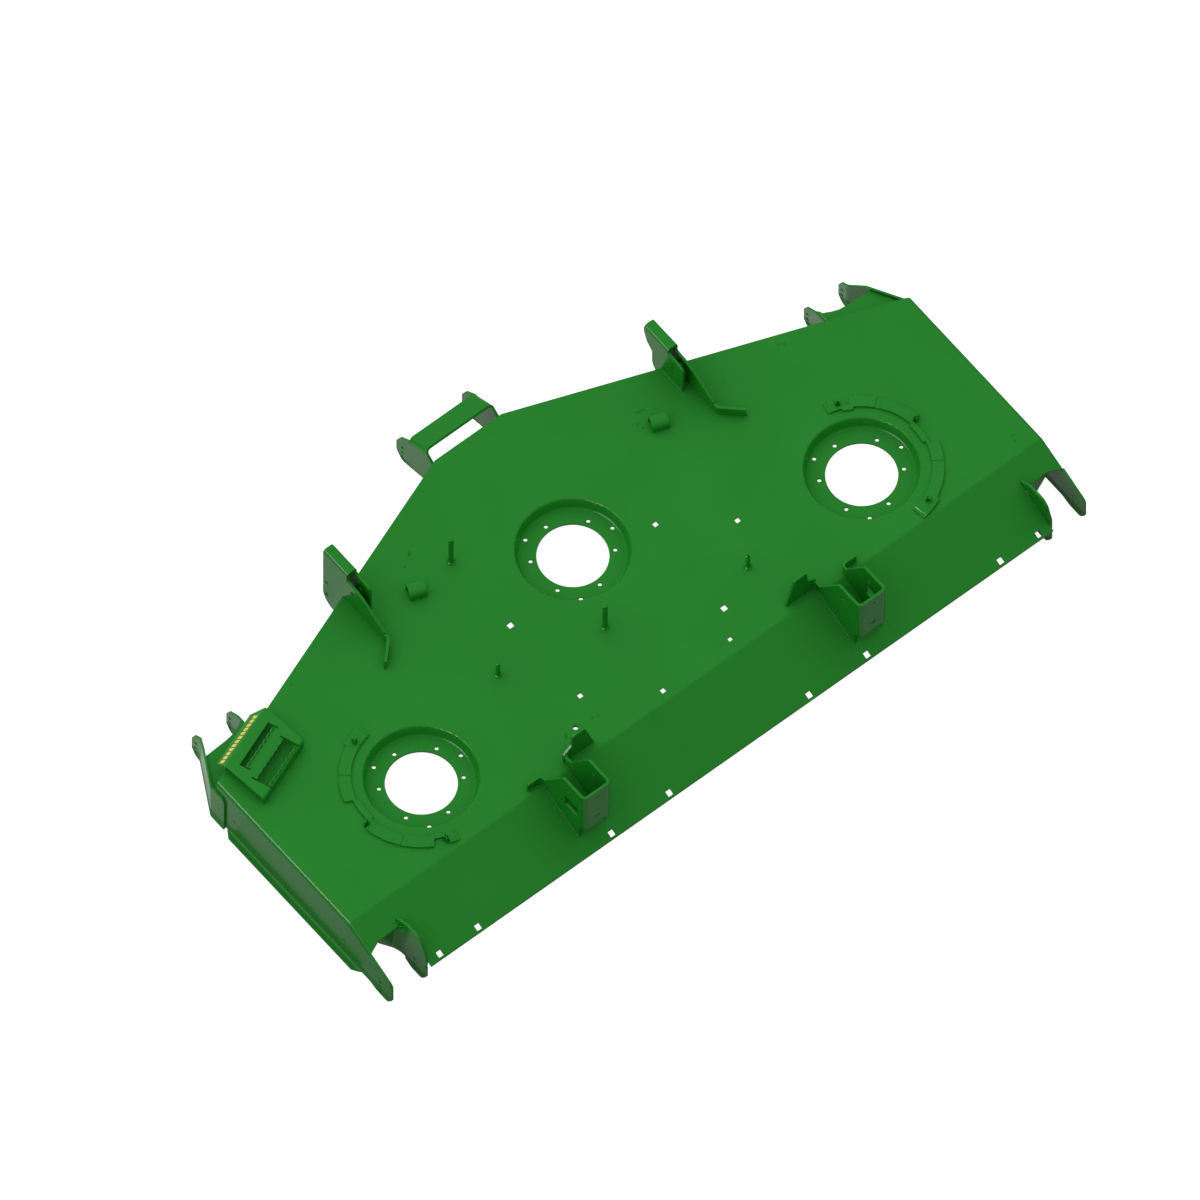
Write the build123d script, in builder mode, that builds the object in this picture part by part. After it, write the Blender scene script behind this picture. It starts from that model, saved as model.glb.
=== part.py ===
from build123d import *
from math import atan2, cos, degrees, radians, sin, tan
import os

os.makedirs("parts", exist_ok=True)

# Mower deck of folded and pressed steel sheet, with its welded brackets.
# Origin: the centre spindle's axis, at the upper face of its dish floor.
# +X is the deck's right, +Y its front and +Z up. Millimetres.

# Sheet stock
SHEET = 4.6
BRACKET_SHEET = 6.0
STEP_SHEET = 3.0
BEND = 7.4
CLEARANCE = 0.3

# Deck top and walls
DISH_DEPTH = 25.7
HALF_WIDTH = 941.5
FOLD_Y = -410.6
SIDE_FRONT_Y = 30.4
NOSE_Y = 351.4
NOSE_HALF_WIDTH = 90.0
NOSE_BEND = 12.0
WALL_BOTTOM = -119.0
WALL_HOLE_RADIUS = 3.0
WALL_HOLES = ((-29.0, -60.0), (-397.0, -63.0))

# Apron: slopes down behind the fold, and narrows behind its two wings
APRON_ANGLE = 25.8
APRON_LENGTH = 173.7
WING_DEPTH = 59.4
WING_CHAMFER_ACROSS = 28.9
WING_CHAMFER_ALONG = 11.0
FLAP_HOLE = 13.0
FLAP_HOLE_INSET = 10.8
FLAP_HOLE_EDGE_DISTANCES = (31.3, 135.0, 497.3, 653.7)

# Spindle dishes
SPINDLE_PITCH = 597.0
SPINDLE_SETBACK = 229.6
PILOT_RADIUS = 77.2
DISH_FLOOR_RADIUS = 115.5
DISH_RIM_RADIUS = 124.0
DISH_CUT_RADIUS = 135.0
DISH_FLOOR_BEND = 8.0
DISH_RIM_BEND = 4.0
SPINDLE_HOLE_RADIUS = 4.4
INNER_RING_RADIUS = 90.3
INNER_RING_COUNT = 6
OUTER_RING_RADIUS = 107.2
OUTER_RING_COUNT = 3

# Square holes in the deck top: plan position and width
SQUARE_HOLES = (
    (-218.6, -60.6, 13.4),
    (157.6, -311.5, 13.4),
    (173.9, -61.6, 11.4),
    (314.3, -163.1, 11.4),
    (-69.0, -386.5, 11.4),
    (-212.2, -286.2, 11.4),
    (119.8, -377.9, 9.6),
)
ROUND_HOLE = (-268.4, -340.2)
ROUND_HOLE_RADIUS = 6.5
BUSHING_WALL = 4.5
BUSHING_HEIGHT = 7.0

# Wheel arms, each with a column of three height holes, and the spans across each pair
ARM_TIP_Z = -128.0
ARM_HOLE_RADIUS = 4.4
ARM_HOLE_PITCH = 19.0
REAR_WHEEL_SPAN = 97.9
REAR_ARM_REACH = 145.4
REAR_ARM_HOLE_INSET = 38.5
REAR_ARM_HOLE_RISE = 31.0
ARM_ROOT = 30.0
INNER_ARM_TOP = 25.0
INNER_ARM_BEND = 20.0
WELL_WALL_INSET = 3.0
WELL_WALL_REACH = 55.4
ARM_SLOT_LEAD = 15.0
FRONT_WHEEL_SPAN = 98.5
FRONT_ARM_REACH = 160.6
FRONT_ARM_HOLE_INSET = 13.0
FRONT_ARM_HOLE_RISE = 36.0
WHEEL_PLATE_TIP_LENGTH = 26.5
WHEEL_PLATE_JOG_LEAD = 15.6
WHEEL_PLATE_BEND = 14.0
CORNER_PLATE_INSET = 161.0
CORNER_WEB_TOP = -22.0
CORNER_WEB_SETBACK = 74.0

# Rub flange along the foot of each side wall
RUB_REACH = 14.0
RUB_FRONT_SETBACK = 35.4
RUB_REAR_SETBACK = 46.4
RUB_BEND = 6.0
RUB_CHAMFER = 21.0

# Front centre wheel bracket
CENTER_OVERHANG = 2.0
CENTER_REACH = 126.2
CENTER_BOTTOM = -112.0
CENTER_WEB_SETOFF = 31.4
CENTER_WEB_REAR_RISE = 4.3
CENTER_WEB_LENGTH = 63.5
CENTER_WEB_ANGLE = 28.2
CENTER_WEB_BEND = 14.0
CENTER_HOLE_INSET = 20.9
CENTER_HOLE_RISE = 32.4

# Front mount towers
FRONT_TOWER_X = 421.0
FRONT_TOWER_WIDTH = 28.0
FRONT_TOWER_HEIGHT = 106.3
FRONT_TOWER_REACH = 63.7
FRONT_TOWER_DEPTH = 79.0
FRONT_TOWER_BEND = 9.5
FRONT_TOWER_DROP = 99.7
FRONT_TOWER_TAIL = 147.3
FRONT_TOWER_TOE_ACROSS = 42.0
FRONT_TOWER_TOE_BACK = 45.0
FRONT_TOWER_TOE_HEIGHT = 25.3
TOWER_HOLE_RADIUS = 5.5

# Rear mount towers
REAR_TOWER_X = 336.0
REAR_TOWER_WIDTH = 75.0
REAR_TOWER_HEIGHT = 117.3
REAR_TOWER_LEAD = 16.6
REAR_TOWER_WING_LEAD = 24.6
REAR_TOWER_TRAIL = 134.0
REAR_TOWER_BEND = 12.0
REAR_TOWER_TAB = 34.0
REAR_TOWER_TAB_HEIGHT = 25.3
REAR_WALL_LENGTH = 129.0
WING_HEIGHT = 79.3
WING_REACH = 76.0
WINDOW_INSET = 23.0
WINDOW_DROP = 62.0
WINDOW_LENGTH = 42.0
WINDOW_HEIGHT = 35.0

# Studs welded upright on the deck top
STUD_RADIUS = 6.0
SLIM_STUD_RADIUS = 5.0
TALL_STUD = 96.0
REAR_STUD = 90.0
SHORT_STUD = 48.0
STUD_GROOVE = 1.2
WELD_LEG = 3.0

# Guide clips
CLIP_LENGTH = 38.0
CLIP_WIDTH = 34.0
CLIP_HEIGHT = 24.0
CLIP_SHEET = 4.0
CLIP_TURN = -20.0

# Guard bands beside the outer dishes
BAND_INNER = 148.5
BAND_OUTER = 174.5
BAND_SHEET = 5.0
BAND_START = -82.0
BAND_END = 79.0
BAND_BUMP = 6.0
BAND_INNER_BUMPS = ((-14.0, 6.0), (58.0, 67.0))
BAND_OUTER_BUMP_END = -64.0
BAND_GROOVES = ((-39.5, -33.0), (36.5, 40.5))
BAND_JOGGLE_SPAN = 2.4
BAND_BUMP_ROUND = 2.2
BAND_JOGGLE = 2.0
BAND_TAB = 11.0
BAND_TAB_SHEET = 2.6
BAND_TAB_HEIGHT = 12.0
BAND_TABS = ((165.0, 69.5), (166.0, 6.5), (164.0, -69.0))

# Foot step over the front left corner
STEP_HEIGHT = 24.3
STEP_DEPTH = 110.0
STEP_SETBACK = 3.1
STEP_INSET = 31.8
STEP_WIDTH = 167.4
STEP_RAKE = 0.26
STEP_FLANGE_OUT = 28.0
STEP_FLANGE_DROP = 30.0
STEP_FLANGE_TAPER = 18.0
STEP_TOOTH_PITCH = 16.1
STEP_TOOTH_COUNT = 7
STEP_TOOTH_HEIGHT = 6.0
STEP_RELIEF = 4.0
STEP_RELIEF_DEPTH = 8.0
NARROW_SLOT_WIDTH = 14.6
NARROW_SLOT_INSET = 78.4
NARROW_SLOT_SETBACK = 38.0
WIDE_SLOT_WIDTH = 29.4
WIDE_SLOT_INSET = 63.4
WIDE_SLOT_SETBACK = 102.0

# Sizes that follow from the ones above
DECK_TOP = DISH_DEPTH
DECK_UNDERSIDE = DECK_TOP - SHEET
WALL_INNER_X = HALF_WIDTH - SHEET
BEND_OUTER = BEND + SHEET
NOSE_SLOPE = (NOSE_Y - SIDE_FRONT_Y) / (HALF_WIDTH - NOSE_HALF_WIDTH)
DIAGONAL_ANGLE = degrees(atan2(NOSE_SLOPE, 1))
APRON_COS = cos(radians(APRON_ANGLE))
APRON_SLOPE = tan(radians(APRON_ANGLE))
APRON_REAR_Y = FOLD_Y - APRON_LENGTH * APRON_COS
BEND_DROP = BEND_OUTER / APRON_COS
WING_REAR_Y = FOLD_Y - WING_DEPTH
WING_TIP_Y = WING_REAR_Y - WING_CHAMFER_ALONG
WING_CHAMFER_X = WALL_INNER_X - WING_CHAMFER_ACROSS
INNER_ARM_X = HALF_WIDTH - REAR_WHEEL_SPAN
INNER_ARM_OUTER_X = INNER_ARM_X + BRACKET_SHEET
APRON_HALF_WIDTH = INNER_ARM_X - CLEARANCE
ARM_SLOT_FRONT_Y = WING_REAR_Y + ARM_SLOT_LEAD
WELL_WALL_Y = WING_REAR_Y + WELL_WALL_INSET
REAR_ARM_REAR_Y = FOLD_Y - REAR_ARM_REACH
REAR_ARM_HOLE_Y = REAR_ARM_REAR_Y + REAR_ARM_HOLE_INSET
REAR_ARM_HOLE_Z = ARM_TIP_Z + REAR_ARM_HOLE_RISE
ARM_ROOT_Y = WING_REAR_Y + ARM_ROOT
RUB_FRONT_Y = SIDE_FRONT_Y - RUB_FRONT_SETBACK
RUB_REAR_Y = FOLD_Y - RUB_REAR_SETBACK
CORNER_PLATE_X = HALF_WIDTH - CORNER_PLATE_INSET
WHEEL_PLATE_TIP_X = CORNER_PLATE_X + FRONT_WHEEL_SPAN
FRONT_ARM_FRONT_Y = SIDE_FRONT_Y + FRONT_ARM_REACH
FRONT_ARM_HOLE_Y = FRONT_ARM_FRONT_Y - FRONT_ARM_HOLE_INSET
FRONT_ARM_HOLE_Z = ARM_TIP_Z + FRONT_ARM_HOLE_RISE
WHEEL_PLATE_JOG_FRONT_Y = FRONT_ARM_FRONT_Y - WHEEL_PLATE_TIP_LENGTH
WHEEL_PLATE_JOG_REAR_Y = SIDE_FRONT_Y + WHEEL_PLATE_JOG_LEAD
CORNER_WEB_FRONT_Y = FRONT_ARM_FRONT_Y - CORNER_WEB_SETBACK
CENTER_HALF_WIDTH = NOSE_HALF_WIDTH + CENTER_OVERHANG
CENTER_FRONT_Y = NOSE_Y + CENTER_REACH
CENTER_WEB_REAR_Y = NOSE_Y + CENTER_WEB_SETOFF
CENTER_WEB_REAR_Z = DECK_TOP + CENTER_WEB_REAR_RISE
CENTER_HOLE_Y = CENTER_FRONT_Y - CENTER_HOLE_INSET
CENTER_HOLE_Z = CENTER_BOTTOM + CENTER_HOLE_RISE
SPINDLES = (
    (0, 0),
    (SPINDLE_PITCH, -SPINDLE_SETBACK),
    (-SPINDLE_PITCH, -SPINDLE_SETBACK),
)
BEYOND = 40.0


def apron_top(y):
    """Height of the apron's upper face at a place y along the deck."""
    return DECK_TOP - (FOLD_Y - y) * APRON_SLOPE


def apron_underside(y):
    """Height of the apron's lower face at a place y along the deck."""
    return apron_top(y) - SHEET / APRON_COS


def diagonal_y(x):
    """Front edge of the deck top beside the nose, at a place x across the deck."""
    return SIDE_FRONT_Y + (HALF_WIDTH - abs(x)) * NOSE_SLOPE


def outline(points, radii=0):
    """The flat area inside a closed outline, with one corner radius or a list of them."""
    with BuildSketch(Plane.XY) as area:
        with BuildLine():
            FilletPolyline(*points, radius=radii, close=True)
        make_face()
    return area.sketch


def folded(points, thickness, radii, side):
    """The section of a folded sheet whose one face runs through the points."""
    with BuildSketch(Plane.XY) as section:
        with BuildLine():
            FilletPolyline(*points, radius=radii)
            offset(amount=thickness, side=side)
        make_face()
    return section.sketch


def mirrored(points):
    """The same outline on the other side of the deck's middle."""
    return [(-x, y) for x, y in points]


def height_holes(y, z, radius):
    """The column of three height holes in a wheel arm."""
    with BuildSketch(Plane.XY) as holes:
        with Locations((y, z)):
            with GridLocations(ARM_HOLE_PITCH, ARM_HOLE_PITCH, 1, 3):
                Circle(radius)
    return holes.sketch


def sector(inner, outer, start, end):
    """A piece of a ring, between two radii and two directions in degrees."""
    with BuildSketch(Plane.XY) as area:
        with BuildLine():
            outer_arc = CenterArc((0, 0), outer, start, end - start)
            inner_arc = CenterArc((0, 0), inner, start, end - start)
            Line(outer_arc @ 0, inner_arc @ 0)
            Line(outer_arc @ 1, inner_arc @ 1)
        make_face()
    return area.sketch


def save(piece, name):
    """Write a finished piece under its name."""
    piece.part.label = name
    export_step(piece.part, "parts/" + name + ".step")


def save_pair(piece, name):
    """Write a right-hand piece, and its mirror image on the left."""
    save(piece, name + "_right")
    with BuildPart() as left_hand:
        mirror(piece.part, about=Plane.YZ)
    save(left_hand, name + "_left")


# The deck shell: top, sloping apron, side walls with their rear arms, and three dishes
corner_cut = (
    (NOSE_HALF_WIDTH, NOSE_Y),
    (HALF_WIDTH + RUB_REACH, diagonal_y(HALF_WIDTH) - RUB_REACH * NOSE_SLOPE),
    (HALF_WIDTH + RUB_REACH, NOSE_Y + BEYOND),
    (NOSE_HALF_WIDTH, NOSE_Y + BEYOND),
)
slot_outer_x = INNER_ARM_OUTER_X + CLEARANCE
well_cut = (
    (APRON_HALF_WIDTH, APRON_REAR_Y - BEYOND),
    (APRON_HALF_WIDTH, ARM_SLOT_FRONT_Y),
    (slot_outer_x, ARM_SLOT_FRONT_Y),
    (slot_outer_x, WING_REAR_Y),
    (WING_CHAMFER_X, WING_REAR_Y),
    (WALL_INNER_X, WING_TIP_Y),
    (HALF_WIDTH + BEYOND, WING_TIP_Y),
    (HALF_WIDTH + BEYOND, APRON_REAR_Y - BEYOND),
)
rear_arm_outline = (
    (ARM_ROOT_Y, WALL_BOTTOM),
    (WING_TIP_Y, WALL_BOTTOM),
    (WING_TIP_Y - 25, ARM_TIP_Z),
    (REAR_ARM_REAR_Y + 15, ARM_TIP_Z),
    (REAR_ARM_REAR_Y, REAR_ARM_HOLE_Z - 9),
    (REAR_ARM_REAR_Y, apron_top(REAR_ARM_REAR_Y) - 3),
    (WING_TIP_Y, apron_top(WING_TIP_Y) - 1),
    (WING_TIP_Y, apron_top(WING_TIP_Y) - BEND_DROP),
    (ARM_ROOT_Y, apron_top(ARM_ROOT_Y) - BEND_DROP),
)
rear_arm_radii = (0, 30, 30, 12, 14, 16, 0, 0, 0)
rub_section = (
    (HALF_WIDTH, WALL_BOTTOM + 3 * RUB_REACH),
    (HALF_WIDTH, WALL_BOTTOM + SHEET),
    (HALF_WIDTH + RUB_REACH, WALL_BOTTOM + SHEET),
)
rub_outline = (
    (WALL_INNER_X, RUB_FRONT_Y),
    (HALF_WIDTH, RUB_FRONT_Y),
    (HALF_WIDTH + RUB_REACH, RUB_FRONT_Y - RUB_CHAMFER),
    (HALF_WIDTH + RUB_REACH, RUB_REAR_Y + RUB_CHAMFER),
    (HALF_WIDTH, RUB_REAR_Y),
    (WALL_INNER_X, RUB_REAR_Y),
)
dish_line = (
    (PILOT_RADIUS, 0),
    (DISH_FLOOR_RADIUS, 0),
    (DISH_RIM_RADIUS, DISH_DEPTH),
    (DISH_CUT_RADIUS, DISH_DEPTH),
)

with BuildPart() as rub_flange:
    with BuildSketch(Plane.XZ.offset(-RUB_FRONT_Y)):
        add(folded(rub_section, SHEET, RUB_BEND, Side.RIGHT))
    extrude(amount=RUB_FRONT_Y - RUB_REAR_Y)
    with BuildSketch(Plane.XY.offset(WALL_BOTTOM)):
        add(outline(rub_outline))
    extrude(amount=4 * RUB_REACH, mode=Mode.INTERSECT)

with BuildPart() as deck_shell:
    with BuildSketch(Plane.YZ):
        add(
            outline(
                (
                    (NOSE_Y, DECK_TOP),
                    (FOLD_Y, DECK_TOP),
                    (APRON_REAR_Y, apron_top(APRON_REAR_Y)),
                    (APRON_REAR_Y, WALL_BOTTOM),
                    (NOSE_Y, WALL_BOTTOM),
                ),
                (0, BEND_OUTER, 0, 0, 0),
            )
        )
    extrude(amount=HALF_WIDTH, both=True)
    top_rims = [
        edge
        for edge in faces().filter_by(Axis.X).edges()
        if edge.center().Z > WALL_BOTTOM + 1
        and APRON_REAR_Y + 1 < edge.center().Y < NOSE_Y - 1
    ]
    fillet(top_rims, radius=BEND_OUTER)
    open_faces = [
        faces().sort_by(Axis.Z)[0],
        faces().sort_by(Axis.Y)[0],
        faces().sort_by(Axis.Y)[-1],
    ]
    offset(amount=-SHEET, openings=open_faces)

    # The front corners run back along the diagonals, and each wheel well is open
    with BuildSketch(Plane.XY.offset(DECK_TOP)):
        add(outline(corner_cut))
        add(outline(mirrored(corner_cut)))
        add(outline(well_cut))
        add(outline(mirrored(well_cut)))
    extrude(amount=WALL_BOTTOM - DECK_TOP, mode=Mode.SUBTRACT)

    # Rear arms in one piece with the side walls
    with BuildSketch(Plane.YZ.offset(WALL_INNER_X), Plane.YZ.offset(-HALF_WIDTH)):
        add(outline(rear_arm_outline, rear_arm_radii))
        add(height_holes(REAR_ARM_HOLE_Y, REAR_ARM_HOLE_Z, ARM_HOLE_RADIUS), mode=Mode.SUBTRACT)
    extrude(amount=SHEET)
    add(rub_flange.part)
    mirror(rub_flange.part, about=Plane.YZ)

    # Pressed dishes with their spindle holes
    with BuildSketch(Plane.XY.offset(DECK_TOP)):
        with Locations(*SPINDLES):
            Circle(DISH_CUT_RADIUS)
    extrude(amount=-SHEET, mode=Mode.SUBTRACT)
    for x, y in SPINDLES:
        with BuildSketch(Plane(origin=(x, y, 0), x_dir=(1, 0, 0), z_dir=(0, -1, 0))):
            add(folded(dish_line, SHEET, (DISH_FLOOR_BEND, DISH_RIM_BEND), Side.RIGHT))
        revolve(axis=Axis((x, y, 0), (0, 0, 1)))
    with BuildSketch(Plane.XY):
        with Locations(*SPINDLES):
            with PolarLocations(INNER_RING_RADIUS, INNER_RING_COUNT, start_angle=30):
                Circle(SPINDLE_HOLE_RADIUS)
            with PolarLocations(OUTER_RING_RADIUS, OUTER_RING_COUNT):
                Circle(SPINDLE_HOLE_RADIUS)
    extrude(amount=SHEET, both=True, mode=Mode.SUBTRACT)

    # Square and round holes in the top, and the flap holes along the apron
    with BuildSketch(Plane.XY.offset(DECK_TOP)):
        for x, y, width in SQUARE_HOLES:
            with Locations((x, y)):
                Rectangle(width, width)
        with Locations(ROUND_HOLE):
            Circle(ROUND_HOLE_RADIUS)
    extrude(amount=-SHEET, mode=Mode.SUBTRACT)
    flap_hole_line = FLAP_HOLE_INSET - APRON_LENGTH
    apron_plane = Plane(
        origin=(0, FOLD_Y, DECK_TOP),
        x_dir=(1, 0, 0),
        z_dir=(0, -sin(radians(APRON_ANGLE)), APRON_COS),
    )
    with BuildSketch(apron_plane):
        for distance in FLAP_HOLE_EDGE_DISTANCES:
            x = APRON_HALF_WIDTH - distance
            with Locations((x, flap_hole_line), (-x, flap_hole_line)):
                Rectangle(FLAP_HOLE, FLAP_HOLE)
    extrude(amount=SHEET, both=True, mode=Mode.SUBTRACT)
    with BuildSketch(Plane.YZ):
        with Locations(*WALL_HOLES):
            Circle(WALL_HOLE_RADIUS)
    extrude(amount=HALF_WIDTH + 1, both=True, mode=Mode.SUBTRACT)
save(deck_shell, "deck_shell")

# Weld bushing beneath the round hole in the deck top
with BuildPart() as weld_bushing:
    with BuildSketch(Plane.XY.offset(DECK_UNDERSIDE)):
        with Locations(ROUND_HOLE):
            Circle(ROUND_HOLE_RADIUS + BUSHING_WALL)
            Circle(ROUND_HOLE_RADIUS, mode=Mode.SUBTRACT)
    extrude(amount=-BUSHING_HEIGHT)
save(weld_bushing, "weld_bushing")

# Front skirt: one strip folded at the nose, closing the shell between its side walls
skirt_line = (
    (WALL_INNER_X, diagonal_y(WALL_INNER_X)),
    (NOSE_HALF_WIDTH, NOSE_Y),
    (-NOSE_HALF_WIDTH, NOSE_Y),
    (-WALL_INNER_X, diagonal_y(WALL_INNER_X)),
)
with BuildPart() as front_skirt:
    with BuildSketch(Plane.XY.offset(WALL_BOTTOM)):
        add(folded(skirt_line, SHEET, NOSE_BEND, Side.LEFT))
    extrude(amount=DECK_UNDERSIDE - WALL_BOTTOM)
    with BuildSketch(Plane.XZ):
        for side in (-1, 1):
            with Locations((side * HALF_WIDTH, DECK_TOP)):
                Rectangle(2 * BEND_OUTER, 2 * BEND_OUTER)
    extrude(amount=NOSE_Y, both=True, mode=Mode.SUBTRACT)
save(front_skirt, "front_skirt")

# Inner rear arm: its ear stands up through the apron's slot, and its front edge
# turns outwards into the wheel well's wall under the wing
ear_outline = (
    (ARM_SLOT_FRONT_Y - 1, apron_underside(ARM_SLOT_FRONT_Y) - 6),
    (ARM_SLOT_FRONT_Y - 1, apron_top(ARM_SLOT_FRONT_Y) + 3),
    (WELL_WALL_Y - 20, INNER_ARM_TOP),
    (REAR_ARM_HOLE_Y - 10, INNER_ARM_TOP),
    (REAR_ARM_REAR_Y + 14, INNER_ARM_TOP - 12),
    (REAR_ARM_REAR_Y, -28),
    (REAR_ARM_REAR_Y, -61),
    (REAR_ARM_REAR_Y + 3, -61),
    (REAR_ARM_REAR_Y + 3, -67),
    (REAR_ARM_REAR_Y, -67),
    (REAR_ARM_REAR_Y, REAR_ARM_HOLE_Z - 9),
    (REAR_ARM_REAR_Y + 15, ARM_TIP_Z),
    (WING_TIP_Y - 25, ARM_TIP_Z),
    (WELL_WALL_Y - INNER_ARM_BEND, WALL_BOTTOM + 3),
    (WELL_WALL_Y - INNER_ARM_BEND, apron_underside(ARM_SLOT_FRONT_Y) - 6),
)
ear_radii = (0, 0, 12, 12, 14, 20, 0, 0, 0, 0, 14, 12, 30, 0, 0)
well_wall_end = INNER_ARM_OUTER_X + WELL_WALL_REACH
well_wall_line = (
    (INNER_ARM_OUTER_X, WELL_WALL_Y - INNER_ARM_BEND - 2),
    (INNER_ARM_OUTER_X, WELL_WALL_Y),
    (well_wall_end, WELL_WALL_Y),
)
well_wall_top = apron_underside(WING_REAR_Y) - CLEARANCE
well_wall_outline = (
    (INNER_ARM_X - 1, WALL_BOTTOM + 3),
    (INNER_ARM_OUTER_X, WALL_BOTTOM + 12),
    (well_wall_end + 1, well_wall_top - 12),
    (well_wall_end + 1, well_wall_top),
    (INNER_ARM_X - 1, well_wall_top),
)
with BuildPart() as rear_inner_arm:
    with BuildSketch(Plane.XY.offset(WALL_BOTTOM)):
        add(folded(well_wall_line, BRACKET_SHEET, INNER_ARM_BEND, Side.LEFT))
    extrude(amount=DECK_TOP - WALL_BOTTOM)
    with BuildSketch(Plane.XZ):
        add(outline(well_wall_outline))
    extrude(amount=-APRON_REAR_Y, mode=Mode.INTERSECT)
    with BuildSketch(Plane.YZ.offset(INNER_ARM_X)):
        add(outline(ear_outline, ear_radii))
        add(height_holes(REAR_ARM_HOLE_Y, REAR_ARM_HOLE_Z, ARM_HOLE_RADIUS), mode=Mode.SUBTRACT)
    extrude(amount=BRACKET_SHEET)
save_pair(rear_inner_arm, "rear_inner_arm")

# Outer front wheel plate: welded on the side wall and joggled inwards to its tip
front_arm_outline = (
    (0, ARM_TIP_Z),
    (FRONT_ARM_FRONT_Y - 15, ARM_TIP_Z),
    (FRONT_ARM_FRONT_Y, -108),
    (FRONT_ARM_FRONT_Y, -66),
    (FRONT_ARM_FRONT_Y - 10, -46),
    (FRONT_ARM_FRONT_Y - 38, -29),
    (FRONT_ARM_FRONT_Y - 63, -14),
    (WHEEL_PLATE_JOG_REAR_Y, -14),
    (WHEEL_PLATE_JOG_REAR_Y - 6, -7),
    (0, -7),
)
wheel_plate_line = (
    (WHEEL_PLATE_TIP_X, FRONT_ARM_FRONT_Y),
    (WHEEL_PLATE_TIP_X, WHEEL_PLATE_JOG_FRONT_Y),
    (HALF_WIDTH + SHEET, WHEEL_PLATE_JOG_REAR_Y),
    (HALF_WIDTH + SHEET, 0),
)
with BuildPart() as front_wheel_plate:
    with BuildSketch(Plane.XY.offset(ARM_TIP_Z)):
        add(folded(wheel_plate_line, SHEET, WHEEL_PLATE_BEND, Side.RIGHT))
    extrude(amount=-ARM_TIP_Z)
    with BuildSketch(Plane.YZ):
        add(outline(front_arm_outline, (6, 16, 10, 8, 8, 12, 12, 4, 4, 12)))
        add(
            height_holes(FRONT_ARM_HOLE_Y, FRONT_ARM_HOLE_Z, ARM_HOLE_RADIUS),
            mode=Mode.SUBTRACT,
        )
    extrude(amount=HALF_WIDTH + BEYOND, mode=Mode.INTERSECT)
save_pair(front_wheel_plate, "front_wheel_plate")

# Front corner bracket: an upright plate and a level web, folded from one sheet
corner_section = (
    (CORNER_PLATE_X, ARM_TIP_Z),
    (CORNER_PLATE_X, CORNER_WEB_TOP),
    (HALF_WIDTH, CORNER_WEB_TOP),
)
jog_run = WHEEL_PLATE_JOG_FRONT_Y - WHEEL_PLATE_JOG_REAR_Y
jog_slope = (HALF_WIDTH + SHEET - WHEEL_PLATE_TIP_X) / jog_run
jog_inner = (SHEET + 2 * CLEARANCE) * (1 + jog_slope**2) ** 0.5


def jog_x(y):
    """Inner face of the wheel plate's joggle, with the web's clearance taken off."""
    return WHEEL_PLATE_TIP_X + (WHEEL_PLATE_JOG_FRONT_Y - y) * jog_slope - jog_inner


corner_plan = (
    (CORNER_PLATE_X - 1, diagonal_y(CORNER_PLATE_X - 1)),
    (CORNER_PLATE_X - 1, FRONT_ARM_FRONT_Y + 1),
    (CORNER_PLATE_X + 8, FRONT_ARM_FRONT_Y + 1),
    (CORNER_PLATE_X + 8, CORNER_WEB_FRONT_Y + 21),
    (CORNER_PLATE_X + 25, CORNER_WEB_FRONT_Y + 12),
    (CORNER_PLATE_X + 40, CORNER_WEB_FRONT_Y + 6),
    (CORNER_PLATE_X + 64, CORNER_WEB_FRONT_Y + 3),
    (jog_x(CORNER_WEB_FRONT_Y), CORNER_WEB_FRONT_Y),
    (jog_x(WHEEL_PLATE_JOG_REAR_Y + 6), WHEEL_PLATE_JOG_REAR_Y + 6),
    (HALF_WIDTH - 1, WHEEL_PLATE_JOG_REAR_Y - 8),
    (HALF_WIDTH - 1, diagonal_y(HALF_WIDTH - 1)),
)
corner_side = (
    (0, CORNER_WEB_TOP),
    (CORNER_WEB_FRONT_Y + 21, CORNER_WEB_TOP),
    (FRONT_ARM_FRONT_Y - 10, -48),
    (FRONT_ARM_FRONT_Y, -66),
    (FRONT_ARM_FRONT_Y, -108),
    (FRONT_ARM_FRONT_Y - 15, ARM_TIP_Z),
    (0, ARM_TIP_Z),
)
with BuildPart() as front_corner_bracket:
    with BuildSketch(Plane.XZ):
        add(folded(corner_section, SHEET, BEND_OUTER, Side.RIGHT))
    extrude(amount=-FRONT_ARM_FRONT_Y)
    with BuildSketch(Plane.XY.offset(ARM_TIP_Z)):
        add(outline(corner_plan, (0, 0, 0, 3, 3, 3, 6, 0, 0, 0, 0)))
    extrude(amount=-ARM_TIP_Z, mode=Mode.INTERSECT)
    with BuildSketch(Plane.YZ):
        add(outline(corner_side, (0, 10, 8, 8, 10, 16, 0)))
        add(
            height_holes(FRONT_ARM_HOLE_Y, FRONT_ARM_HOLE_Z, ARM_HOLE_RADIUS),
            mode=Mode.SUBTRACT,
        )
    extrude(amount=HALF_WIDTH + BEYOND, mode=Mode.INTERSECT)
save_pair(front_corner_bracket, "front_corner_bracket")

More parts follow.
